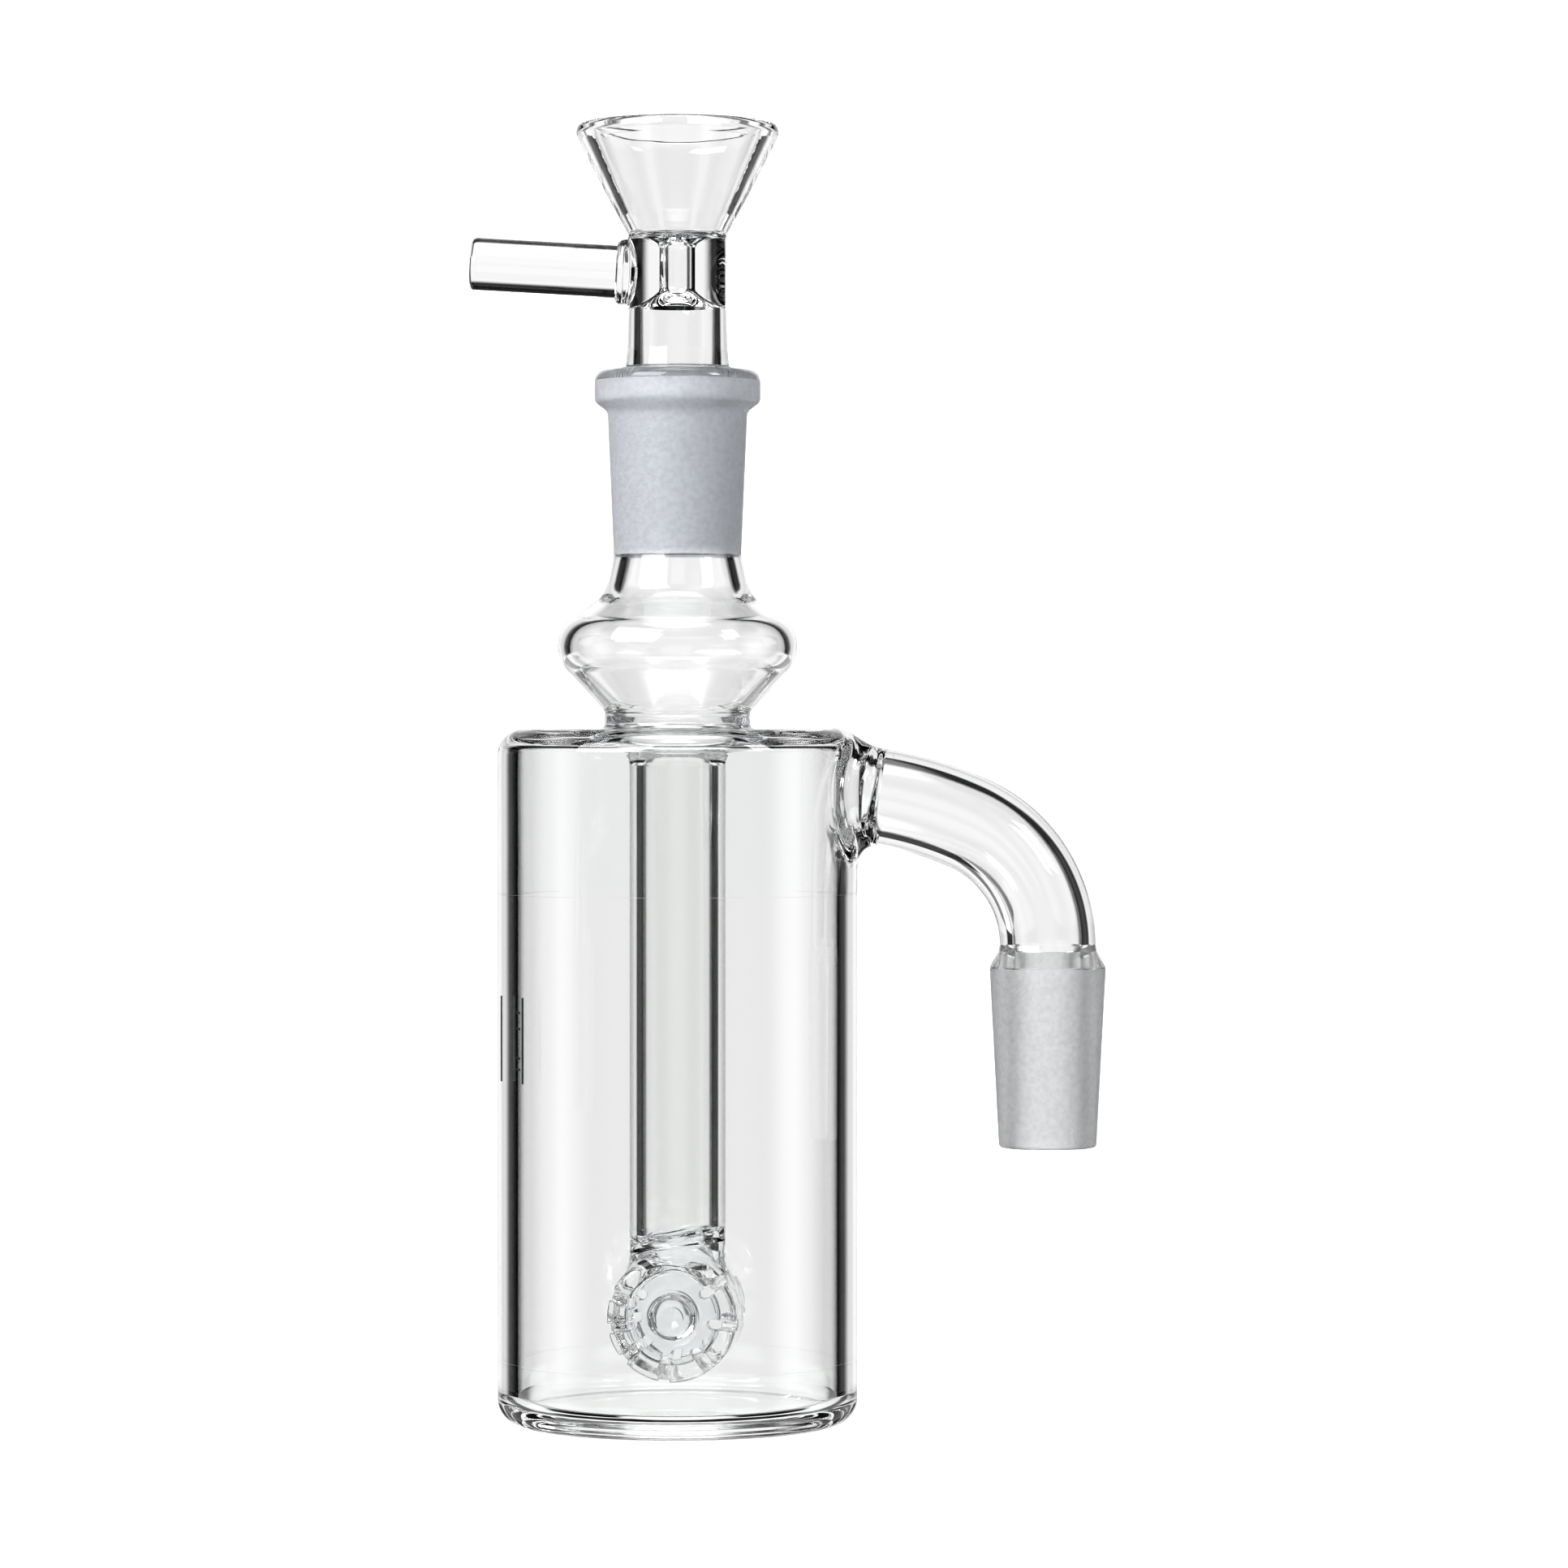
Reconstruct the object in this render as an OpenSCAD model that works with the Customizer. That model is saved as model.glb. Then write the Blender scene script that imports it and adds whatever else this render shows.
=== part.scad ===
// Glass ash catcher with a loose funnel bowl.
// Millimetres. Origin at the centre of the can's foot, +Z up, side arm along +X, bowl handle along -X.

/* [Can] */
// Outer diameter of the can
can_d = 45; // [40:0.5:60]
// Height of the can from foot to roof
can_h = 86.6; // [80:0.1:100]
// Thickness of the can's wall
can_wall_t = 2.4; // [1.5:0.1:3]
// Thickness of the roof plate
roof_t = 2.4; // [1.8:0.1:3]
// Thickness of the floor
floor_t = 2.3; // [1.8:0.1:3]
// Radius of the rounded heel and of the roof's outer corner
corner_r = 3.2; // [2.5:0.1:4]
// Height of the base section
base_h = 8; // [6:0.5:12]
// Height of the roof section
roof_h = 20.5; // [18.5:0.5:22]

/* [Ground joints 14/23] */
// Diameter at the wide end of the ground cone
cone_d = 14.5; // [14.5:0.1:14.5]
// Length of the ground cone
cone_l = 23; // [20:0.5:23]
// Gap that the ground faces keep when the bowl is seated
cone_gap = 0.05; // [0.02:0.01:0.1]
// Outer diameter of the socket's barrel at its mouth
socket_d = 17.6; // [17:0.1:19]
// Outer diameter of the socket's collar
collar_d = 20.7; // [19:0.1:23]
// Height of the socket's collar
collar_h = 3.9; // [3:0.1:5]

/* [Neck bulb] */
// Height of the weld ring on the roof
neck_weld_h = 3; // [3:0.1:6]
// Largest diameter of the bulb
bulb_d = 30; // [26:0.5:34]
// Height of the bulb section
bulb_h = 18.8; // [17:0.1:22]
// Thickness of the bulb's glass
bulb_t = 1.5; // [1.2:0.1:2]

/* [Downstem and drum] */
// Outer diameter of the downstem and of the side arm
tube_d = 12; // [10:0.1:12.4]
// Bore of the downstem and of the side arm
tube_bore_d = 8.8; // [7:0.1:9]
// Height of the drum's axis above the foot
drum_z = 13.7; // [12:0.1:18]
// Outer diameter of the drum
drum_d = 16; // [14:0.5:20]
// Bore of the drum
drum_bore_d = 12; // [10:0.5:14]
// Length of the drum over its end plates
drum_l = 14; // [13:0.5:20]
// Thickness of an end plate
plate_t = 1.8; // [1.5:0.1:2.5]
// Turn of the drum about the downstem
drum_yaw = -6; // [-30:1:30]
// Width of a sawn slot
slot_w = 1.2; // [0.8:0.1:1.6]

/* [Side arm] */
// Height of the arm's axis at the can
arm_z = 78.6; // [76:0.1:79]
// Slope of the arm where it leaves the can
arm_slope = 6; // [3:1:10]
// Bend radius of the gentle first stretch
arm_r1 = 46; // [40:1:60]
// Slope at which the tight bend starts
arm_break = 24; // [20:1:30]
// Bend radius of the tight second stretch
arm_r2 = 16.6; // [15:0.1:20]
// Height of the outlet's lower end above the foot
outlet_z = 34.4; // [25:0.1:36]
// Length of the ground cone on the arm
outlet_l = 22.4; // [20:0.1:23]

/* [Bowl] */
// Outer diameter of the bowl's rim
rim_d = 25.4; // [22:0.1:30]
// Height of the rim above the socket's mouth
bowl_h = 30.8; // [28:0.1:34]
// Diameter of the hole in the throat
throat_d = 2.9; // [2:0.1:4]
// Diameter of the handle
handle_d = 6.7; // [5:0.1:8]
// Distance from the bowl's axis to the handle's end
handle_reach = 25.9; // [20:0.1:40]
// Upward tilt of the handle
handle_tilt = 3.2; // [0:0.1:10]

/* [Print] */
// Height of the printed mark's lower edge above the foot
print_z = 43; // [20:1:50]
// Height of the printed mark
print_h = 10.6; // [6:0.1:15]
// Angle that the printed mark covers on the can
print_angle = 68; // [30:1:80]

/* [Hidden] */
$fn = 96;

can_r = can_d / 2;
can_bore_r = can_r - can_wall_t;
ceiling_z = can_h - roof_t;
roof_z = can_h - roof_h;
tube_r = tube_d / 2;
bore_r = tube_bore_d / 2;

// Ground cone: its radius falls by 1 in 20, which is 1 in 10 on the diameter
cone_r = cone_d / 2;
cone_end_r = cone_r - cone_l / 20;
cone_bore_r = 4.65;

// Neck, from the roof up
neck_r = 9.5;
neck_bore_r = 7.5;
bulb_z = can_h + neck_weld_h;
socket_z = bulb_z + bulb_h;
mouth_z = socket_z + cone_l;
socket_end_r = 8.15;

// Seal and downstem, from the roof down
seal_r = 7.6;
seal_drop = 2.3;
seal_z = ceiling_z - seal_drop;
foot_z = drum_z + drum_d / 2 + 3;

// Drum
drum_r = drum_d / 2;
drum_bore_r = drum_bore_d / 2;
barrel_l = drum_l - 2 * plate_t;
saw_r = 5.6;
saw_out = 1.8;
// The slots are sawn by hand, so their spacing is uneven; 90 is up, under the downstem, and stays uncut
slot_angles = [37, -7, -53, -97, -139, -170, 159];
nub_r = 2.3;
nub_h = 0.7;

// Arm: two arcs, a gentle one and a tight one, in the XZ plane; the weld takes the first stretch of the gentle one
arc1_x = can_r - arm_r1 * sin(arm_slope);
arc1_z = arm_z - arm_r1 * cos(arm_slope);
arm_start_x = can_r + 3.5;
start_slope = asin((arm_start_x - arc1_x) / arm_r1);
arm_start_z = arc1_z + arm_r1 * cos(start_slope);
arc2_x = arc1_x + (arm_r1 - arm_r2) * sin(arm_break);
arc2_z = arc1_z + (arm_r1 - arm_r2) * cos(arm_break);
arm_x = arc2_x + arm_r2;
weld_x = 19;
weld_r = 8.6;
weld_tilt = atan2(arm_start_z - can_h + weld_r, arm_start_x - weld_x);
weld_len = norm([arm_start_x - weld_x, arm_start_z - can_h + weld_r]);
shoulder_z = outlet_z + outlet_l;
outlet_end_r = cone_r - outlet_l / 20;
outlet_bore_r = 4.5;

// Bowl, from the socket's mouth up
taper_top_z = mouth_z + 0.2;
taper_r = cone_r - cone_gap;
taper_l = cone_l - 0.4;
taper_bottom_z = taper_top_z - taper_l;
bowl_neck_r = 6.2;
throat_z = mouth_z + 7.7;
throat_h = 8.6;
funnel_z = throat_z + throat_h;
rim_z = mouth_z + bowl_h;
rim_r = rim_d / 2;
handle_r = handle_d / 2;
handle_z = mouth_z + 11.9;
handle_start_x = 7.6;
handle_len = (handle_reach - handle_start_x) / cos(handle_tilt);

// Points of an arc about c, from angle a0 to a1
function arc(c, r, a0, a1, n = 6) = [for (i = [0:n]) c + r * [cos(a0 + (a1 - a0) * i / n), sin(a0 + (a1 - a0) * i / n)]];

// A closed profile turned about Z
module turned(points) rotate_extrude($fn = 128) polygon(points);

// A straight ring
module ring(r_out, r_in, h) difference() {
    cylinder(r = r_out, h = h);
    translate([0, 0, -1]) cylinder(r = r_in, h = h + 2);
}

// ---- can ----

module can_wall()
    color("#dfe8e6", 0.45)
        translate([0, 0, base_h]) ring(can_r, can_bore_r, roof_z - base_h);

module can_base()
    color("#dfe8e6", 0.45)
        turned(concat(
            [[0, 0]],
            arc([can_r - corner_r, corner_r], corner_r, -90, 0),
            [[can_r, base_h], [can_bore_r, base_h]],
            arc([can_bore_r - 2, floor_t + 2], 2, 0, -90),
            [[0, floor_t]]
        ));

module can_roof()
    color("#dfe8e6", 0.45)
        difference() {
            turned(concat(
                [[can_bore_r, roof_z], [can_r, roof_z]],
                arc([can_r - corner_r, can_h - corner_r], corner_r, 0, 90),
                [[seal_r, can_h], [seal_r, ceiling_z]],
                arc([can_bore_r - 1.5, ceiling_z - 1.5], 1.5, 90, 0)
            ));
            weld_plug();
        }

// ---- neck ----

module neck_weld()
    color("#c8dcd6", 0.6)
        turned(concat(
            [[neck_bore_r, can_h], [neck_r + 1.3, can_h]],
            arc([neck_r + 1.3, can_h + 1.3], 1.3, -90, -180, 4),
            [[neck_r, bulb_z], [neck_bore_r, bulb_z]]
        ));

// Shell of the bulb: foot fillet, round belly and a concave shoulder up to the socket
bulb_r = bulb_d / 2;
belly_r = 5.5;
belly_c = [bulb_r - belly_r, bulb_z + 7.2];
module neck_bulb()
    color("#dfe8e6", 0.5)
        turned(concat(
            [[neck_bore_r, bulb_z], [neck_r, bulb_z], [neck_r + 0.4, bulb_z + 0.8]],
            arc(belly_c, belly_r, -62, 62, 12),
            [[neck_r + 0.1, bulb_z + 14.2], [8.9, bulb_z + 15.8], [8.5, bulb_z + 17.4], [socket_end_r, socket_z]],
            [[6.45, socket_z], [7, bulb_z + 16.2], [7.8, bulb_z + 14.4]],
            arc(belly_c, belly_r - bulb_t, 55, -62, 12)
        ));

module socket()
    color("#eef1f2", 0.9)
        turned(concat(
            [[cone_end_r, socket_z], [socket_end_r, socket_z]],
            [[socket_d / 2, mouth_z - collar_h - 1.4]],
            arc([collar_d / 2 - 1, mouth_z - collar_h + 1], 1, -60, 0, 3),
            arc([collar_d / 2 - 1.2, mouth_z - 1.2], 1.2, 0, 90, 4),
            [[cone_r + 0.4, mouth_z], [cone_r - 0.02, mouth_z - 0.4]]
        ));

// ---- downstem and drum ----

module downstem_seal()
    color("#c8dcd6", 0.6)
        turned(concat(
            [[bore_r, seal_z], [tube_r, seal_z]],
            arc([tube_r + 1.6, seal_z], 1.6, 180, 110, 4),
            [[seal_r, ceiling_z], [seal_r, can_h], [seal_r - 0.4, can_h]],
            arc([bore_r + 2.8, seal_z + 1.8], 2.8, 90, 180, 5)
        ));

module downstem()
    color("#dfe8e6", 0.5)
        translate([0, 0, foot_z]) ring(tube_r, bore_r, seal_z - foot_z);

// Places a shape on the drum's axis, +Z of the shape pointing to the drum's front
module on_drum_axis()
    translate([0, 0, drum_z]) rotate([0, 0, drum_yaw]) rotate([90, 0, 0]) children();

module downstem_foot()
    color("#c8dcd6", 0.6)
        difference() {
            translate([0, 0, drum_z]) ring(tube_r, bore_r, foot_z - drum_z);
            on_drum_axis() cylinder(r = drum_r, h = drum_l + 2, center = true);
        }

// Saw cuts across the front rim
module saw_cuts()
    for (a = slot_angles)
        rotate([0, 0, a])
            translate([drum_r + saw_out, 0, drum_l / 2 + saw_out])
                rotate([90, 0, 0]) cylinder(r = saw_r, h = slot_w, center = true);

module drum_barrel()
    color("#c8dcd6", 0.6)
        difference() {
            on_drum_axis()
                difference() {
                    translate([0, 0, -barrel_l / 2]) ring(drum_r, drum_bore_r, barrel_l);
                    saw_cuts();
                    mirror([0, 0, 1]) saw_cuts();
                }
            translate([0, 0, drum_z]) cylinder(r = bore_r, h = foot_z - drum_z);
        }

// End plate at the drum's front, with the dimple left by the blowpipe
module end_plate()
    difference() {
        translate([0, 0, barrel_l / 2])
            turned(concat(
                [[0, 0], [drum_r, 0]],
                arc([drum_r - 0.8, plate_t - 0.8], 0.8, 0, 90, 4),
                [[nub_r + 0.5, plate_t], [nub_r - 0.3, plate_t + nub_h * 0.7], [1, plate_t + nub_h], [0, plate_t + nub_h]]
            ));
        saw_cuts();
    }

module drum_front_plate()
    color("#c8dcd6", 0.6)
        on_drum_axis() end_plate();

module drum_back_plate()
    color("#c8dcd6", 0.6)
        on_drum_axis() mirror([0, 0, 1]) end_plate();

// ---- side arm ----

// Places a shape at the arm's start, +Z of the shape pointing along the arm
module on_arm_start()
    translate([arm_start_x, 0, arm_start_z]) rotate([0, 90 + start_slope, 0]) children();

// Solid weld cone that fills the hole in the can's wall: flush with the roof, widest below the arm
module weld_plug()
    intersection() {
        union() {
            translate([weld_x, 0, can_h - weld_r]) rotate([0, 90 - weld_tilt, 0])
                cylinder(r1 = weld_r, r2 = tube_r - 0.4, h = weld_len);
            on_arm_start() translate([0, 0, -5]) cylinder(r = tube_r, h = 5);
        }
        on_arm_start() translate([-can_r, -can_r, -can_r]) cube([can_d, can_d, can_r]);
        translate([0, -can_r, 0]) cube([can_d, can_d, can_h]);
    }

// The hollow under the roof
module roof_void()
    turned(concat(
        [[0, roof_z - 1], [can_bore_r, roof_z - 1]],
        arc([can_bore_r - 1.5, ceiling_z - 1.5], 1.5, 0, 90),
        [[0, ceiling_z]]
    ));

module arm_weld()
    color("#c8dcd6", 0.6)
        difference() {
            weld_plug();
            on_arm_start() translate([0, 0, -12]) cylinder(r = bore_r, h = 14);
            roof_void();
        }

// A tube bent about a centre in the XZ plane, between two slopes
module bent_tube(x, z, r, slope0, slope1)
    translate([x, 0, z]) rotate([90, 0, 0]) rotate([0, 0, 90 - slope1])
        rotate_extrude(angle = slope1 - slope0, $fn = 128)
            translate([r, 0]) difference() {
                circle(r = tube_r);
                circle(r = bore_r);
            }

module arm_sweep()
    color("#dfe8e6", 0.5)
        bent_tube(arc1_x, arc1_z, arm_r1, start_slope, arm_break);

module arm_bend()
    color("#dfe8e6", 0.5)
        bent_tube(arc2_x, arc2_z, arm_r2, arm_break, 90);

module arm_shoulder()
    color("#dfe8e6", 0.5)
        translate([arm_x, 0, 0])
            turned([
                [outlet_bore_r, shoulder_z], [cone_r, shoulder_z], [cone_r - 0.3, shoulder_z + 0.9],
                [tube_r + 0.2, arc2_z - 0.6], [tube_r, arc2_z], [bore_r, arc2_z]
            ]);

module outlet_taper()
    color("#eef1f2", 0.9)
        translate([arm_x, 0, 0])
            turned([
                [outlet_bore_r, outlet_z], [outlet_end_r - 0.5, outlet_z], [outlet_end_r, outlet_z + 0.5],
                [cone_r, shoulder_z], [outlet_bore_r, shoulder_z]
            ]);

// ---- print ----

module print_patch()
    color("#3a4048")
        rotate([0, 0, 180 - print_angle / 2])
            rotate_extrude(angle = print_angle, $fn = 128)
                translate([can_r, print_z]) square([0.1, print_h]);

// ---- bowl ----

module bowl_taper()
    color("#eef1f2", 0.9)
        turned([
            [cone_bore_r, taper_bottom_z], [taper_r - taper_l / 20 - 0.4, taper_bottom_z],
            [taper_r - taper_l / 20, taper_bottom_z + 0.5],
            [taper_r, taper_top_z], [cone_bore_r, taper_top_z]
        ]);

module bowl_neck()
    color("#dfe8e6", 0.5)
        turned([
            [cone_bore_r, taper_top_z], [taper_r - 0.3, taper_top_z], [bowl_neck_r + 0.15, taper_top_z + 1],
            [bowl_neck_r, throat_z], [cone_bore_r, throat_z]
        ]);

module bowl_throat()
    color("#c8dcd6", 0.6)
        difference() {
            turned([
                [throat_d / 2, throat_z + 3.2], [2.4, throat_z + 1.4], [cone_bore_r, throat_z],
                [bowl_neck_r, throat_z], [bowl_neck_r - 0.2, throat_z + 2], [bowl_neck_r - 0.2, funnel_z - 1.6],
                [bowl_neck_r + 0.2, funnel_z], [3, funnel_z], [throat_d / 2, funnel_z - 2.2]
            ]);
            weld_disc();
        }

module bowl_funnel()
    color("#dfe8e6", 0.5)
        turned(concat(
            [[3, funnel_z], [bowl_neck_r + 0.2, funnel_z], [7.1, funnel_z + 1.6]],
            [[8.8, funnel_z + 5.6], [11.3, funnel_z + 10.8], [rim_r - 0.4, rim_z - 2]],
            arc([rim_r - 1.15, rim_z - 1.15], 1.15, -10, 170, 8),
            [[9.3, rim_z - 4], [6.2, funnel_z + 3.2], [5.2, funnel_z + 1.2], [3.6, funnel_z + 0.4]]
        ));

// Places a shape on the handle's axis, +Z of the shape pointing away from the bowl
module on_handle()
    translate([0, 0, handle_z]) rotate([0, -90 + handle_tilt, 0]) children();

// Solid weld bead, sunk into the throat and flared round the rod
module weld_disc()
    on_handle()
        turned([
            [0, 4.2], [handle_r, 4.2], [handle_r + 0.2, 5.4], [handle_r + 0.7, 6.3],
            [handle_r + 0.7, 7.1], [handle_r, handle_start_x], [0, handle_start_x]
        ]);

module handle_weld()
    color("#c8dcd6", 0.6)
        weld_disc();

module bowl_handle()
    color("#dfe8e6", 0.5)
        on_handle()
            translate([0, 0, handle_start_x])
                turned(concat(
                    [[0, 0], [handle_r, 0]],
                    arc([handle_r - 1, handle_len - 1], 1, 0, 90, 5),
                    [[0, handle_len]]
                ));

can_wall();
can_base();
can_roof();
neck_weld();
neck_bulb();
socket();
downstem_seal();
downstem();
downstem_foot();
drum_barrel();
drum_front_plate();
drum_back_plate();
arm_weld();
arm_sweep();
arm_bend();
arm_shoulder();
outlet_taper();
print_patch();
bowl_taper();
bowl_neck();
bowl_throat();
bowl_funnel();
handle_weld();
bowl_handle();
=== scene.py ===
"""Looks of the glass ash catcher: lathed and flame-blended glass, ground joints, a printed mark and a light tent.

Lengths here are in millimetres, and become metres when a mesh is made. The Z axis runs up the can and the neck.
Every piece is a closed glass solid. Where two sections are fused, their touching faces are fully transparent, so
light passes as through one piece of glass.
"""
import math

import bmesh
import bpy
import numpy as np
import openvdb
from mathutils import Matrix, Vector


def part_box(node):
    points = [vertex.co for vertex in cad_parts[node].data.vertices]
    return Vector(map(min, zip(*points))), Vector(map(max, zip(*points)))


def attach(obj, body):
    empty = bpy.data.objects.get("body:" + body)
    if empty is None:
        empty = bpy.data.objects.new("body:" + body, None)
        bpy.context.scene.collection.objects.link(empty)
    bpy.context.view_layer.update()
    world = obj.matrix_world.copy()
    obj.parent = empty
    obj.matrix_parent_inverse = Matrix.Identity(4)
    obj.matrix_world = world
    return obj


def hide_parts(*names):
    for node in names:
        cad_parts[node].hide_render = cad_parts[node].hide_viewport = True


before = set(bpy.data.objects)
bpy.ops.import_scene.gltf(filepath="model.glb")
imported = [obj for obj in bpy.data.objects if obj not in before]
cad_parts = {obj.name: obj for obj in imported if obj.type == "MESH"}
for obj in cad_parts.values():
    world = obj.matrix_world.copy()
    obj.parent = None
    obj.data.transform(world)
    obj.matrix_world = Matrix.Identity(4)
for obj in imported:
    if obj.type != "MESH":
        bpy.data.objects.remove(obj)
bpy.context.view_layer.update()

MM = 0.001


def edges(node):
    """Lowest and highest corner of a CAD node."""
    low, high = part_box(node)
    return low / MM, high / MM


# ---- levels and radii, from the frame ----

can_low, can_high = edges("can_wall")
roof_low, roof_high = edges("can_roof")
_, neck_weld_high = edges("neck_weld")
socket_low, socket_high = edges("socket")
stem_low, stem_high = edges("downstem")
seal_low, _ = edges("downstem_seal")
outlet_low, outlet_high = edges("outlet_taper")
taper_low, taper_high = edges("bowl_taper")
throat_low, throat_high = edges("bowl_throat")
_, funnel_high = edges("bowl_funnel")
handle_low, _ = edges("bowl_handle")
barrel_low, _ = edges("drum_barrel")
print_low, print_high = edges("print_patch")

CAN_WALL_T, ROOF_T = 2.55, 2.4
CAN_R = can_high.x
CAN_BORE = CAN_R - CAN_WALL_T
CAN_TOP = roof_high.z
CEILING = CAN_TOP - ROOF_T
FLOOR = 2.3
TUBE_R, BORE_R = stem_high.x, 4.3
ARM_X = (outlet_low.x + outlet_high.x) / 2
DRUM_R, DRUM_HALF = 8, 7
DRUM_Z = barrel_low.z + DRUM_R

# The roof is cut round the arm: inside this radius and this many degrees either side of the arm it is a ring or a weld
ROOF_CUT_R = 11
ROOF_CUT_ANGLE = 35
# Millimetres to a radian in the flattened space where a round cut is straight
POLAR = 20
# Left between pieces so that no two faces coincide
GAP = 0.01

# Arm centreline: a gentle arc that leaves the can, then a tight one
ARC1_R = 46
ARC1_SLOPE = math.radians(6)
ARC1_X = CAN_R - ARC1_R * math.sin(ARC1_SLOPE)
ARC1_Z = 78.6 - ARC1_R * math.cos(ARC1_SLOPE)
ARM_START = math.asin((CAN_R + 3.5 - ARC1_X) / ARC1_R)
ARM_BREAK = math.radians(24)
ARC2_R = 16.6
ARC2_X = ARC1_X + (ARC1_R - ARC2_R) * math.sin(ARM_BREAK)
ARC2_Z = ARC1_Z + (ARC1_R - ARC2_R) * math.cos(ARM_BREAK)


# ---- materials ----

GLASS_IOR = 1.47
CLEAR_TINT = (0.985, 0.988, 0.985)
FAINT_GREEN = (0.982, 0.988, 0.984)


def shader(name):
    """A new material, its node tree, its Principled shader and its output."""
    material = bpy.data.materials.new(name)
    material.use_nodes = True
    tree = material.node_tree
    return material, tree, tree.nodes["Principled BSDF"], tree.nodes["Material Output"]


def ripple(tree, surface, scale, strength, stretch=(1, 1, 1), detail=1.0):
    """Soft bump on a shader, from noise in object space."""
    place = tree.nodes.new("ShaderNodeTexCoord")
    mapping = tree.nodes.new("ShaderNodeMapping")
    mapping.inputs["Scale"].default_value = stretch
    noise = tree.nodes.new("ShaderNodeTexNoise")
    noise.inputs["Scale"].default_value = scale
    noise.inputs["Detail"].default_value = detail
    bump = tree.nodes.new("ShaderNodeBump")
    bump.inputs["Strength"].default_value = strength
    bump.inputs["Distance"].default_value = 0.0002
    tree.links.new(place.outputs["Object"], mapping.inputs["Vector"])
    tree.links.new(mapping.outputs["Vector"], noise.inputs["Vector"])
    tree.links.new(noise.outputs["Fac"], bump.inputs["Height"])
    tree.links.new(bump.outputs["Normal"], surface.inputs["Normal"])
    return noise, bump


def glass(name, colour=CLEAR_TINT, ripples=(60, 0.05), stretch=(1, 1, 1)):
    """Borosilicate glass, faintly tinted, with the slow waviness of flame work."""
    material, tree, surface, _ = shader(name)
    surface.inputs["Base Color"].default_value = (*colour, 1)
    surface.inputs["Roughness"].default_value = 0.0
    surface.inputs["IOR"].default_value = GLASS_IOR
    surface.inputs["Transmission Weight"].default_value = 1.0
    ripple(tree, surface, *ripples, stretch=stretch)
    return material


def ground_glass(name, colour, roughness, clear):
    """Glass ground with carborundum: a rough face with a fine even grain."""
    material, tree, surface, _ = shader(name)
    surface.inputs["IOR"].default_value = GLASS_IOR
    surface.inputs["Transmission Weight"].default_value = clear
    surface.inputs["Roughness"].default_value = roughness
    noise, bump = ripple(tree, surface, 2600, 0.8, detail=4.0)
    bump.inputs["Distance"].default_value = 0.0001
    cloud = tree.nodes.new("ShaderNodeTexNoise")
    cloud.inputs["Scale"].default_value = 1500
    cloud.inputs["Detail"].default_value = 6
    tone = tree.nodes.new("ShaderNodeValToRGB")
    tone.color_ramp.elements[0].position = 0.35
    tone.color_ramp.elements[0].color = (*[c * 0.86 for c in colour], 1)
    tone.color_ramp.elements[1].position = 0.65
    tone.color_ramp.elements[1].color = (*colour, 1)
    tree.links.new(noise.inputs["Vector"].links[0].from_socket, cloud.inputs["Vector"])
    tree.links.new(cloud.outputs["Fac"], tone.inputs["Fac"])
    tree.links.new(tone.outputs["Color"], surface.inputs["Base Color"])
    return material


def seam_material():
    """Where two sections are fused there is no surface: light goes straight on."""
    material, tree, surface, output = shader("fused_seam")
    clear = tree.nodes.new("ShaderNodeBsdfTransparent")
    tree.links.new(clear.outputs["BSDF"], output.inputs["Surface"])
    tree.nodes.remove(surface)
    return material


def print_material():
    """Fired-on dark print, a little uneven in the ink."""
    material, tree, surface, _ = shader("print_ink")
    surface.inputs["Roughness"].default_value = 0.35
    noise, _ = ripple(tree, surface, 900, 0.2, detail=3.0)
    tone = tree.nodes.new("ShaderNodeValToRGB")
    tone.color_ramp.elements[0].color = (0.012, 0.014, 0.016, 1)
    tone.color_ramp.elements[1].color = (0.05, 0.055, 0.06, 1)
    tree.links.new(noise.outputs["Fac"], tone.inputs["Fac"])
    tree.links.new(tone.outputs["Color"], surface.inputs["Base Color"])
    return material


CLEAR = glass("clear_borosilicate")
THICK = glass("thick_borosilicate", FAINT_GREEN)
WELD = glass("weld_glass", ripples=(220, 0.15))
ROOF = glass("roof_glass", FAINT_GREEN, ripples=(120, 0.12))
ROOF_RING = glass("roof_ring_glass", (0.93, 0.96, 0.94), ripples=(180, 0.18))
SWIRL = glass("swirled_glass", ripples=(260, 0.3))
DRUM = glass("drum_glass", (0.955, 0.965, 0.97), ripples=(380, 0.35))
TOOLED = glass("tooled_glass", ripples=(90, 0.03), stretch=(1, 1, 14))
GROUND = ground_glass("ground_socket", (0.92, 0.94, 0.98), 0.45, 0.72)
GROUND_CONE = ground_glass("ground_cone", (0.91, 0.915, 0.925), 0.5, 0.82)
SEAM = seam_material()
INK = print_material()


# ---- outlines: lists of segments in (r, z), each as (start, its tangent, end, its tangent) ----

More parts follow.
